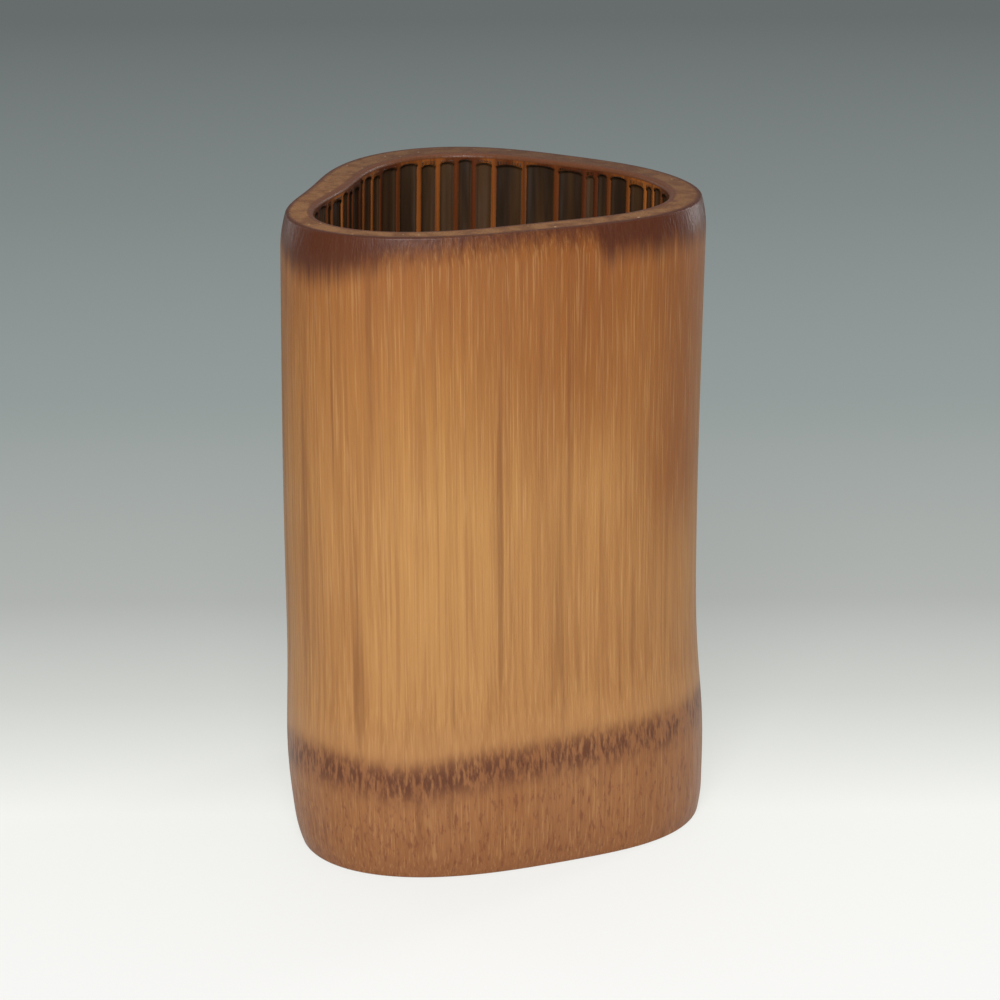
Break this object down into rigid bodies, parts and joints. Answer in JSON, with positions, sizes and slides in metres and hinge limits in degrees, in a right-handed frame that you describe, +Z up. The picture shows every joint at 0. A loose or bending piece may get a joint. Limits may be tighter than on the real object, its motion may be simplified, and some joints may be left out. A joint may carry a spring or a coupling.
{
  "type": "brush pot",
  "caption": "Tall brush pot cut from natural bamboo, rounded three-cornered section, swollen node near the foot, fluted and lacquered well.",
  "frame": {"origin": "middle of the footprint, on the surface that the pot stands on", "axes": "+Z up along the culm, +X to the right and -Y to the front as the pot was pictured"},
  "size_m": [0.1146, 0.1168, 0.175],
  "materials": {
    "bamboo": "honey-brown bamboo skin, hand-polished and waxed, satin to semi-gloss",
    "diaphragm": "raw node tissue, matt brown",
    "lacquer": "dark brown-black lacquer coat, satin"
  },
  "bodies": {
    "root": {"culm_wall": "bamboo", "node_diaphragm": "diaphragm", "lacquer_lining": "lacquer"}
  },
  "joints": []
}
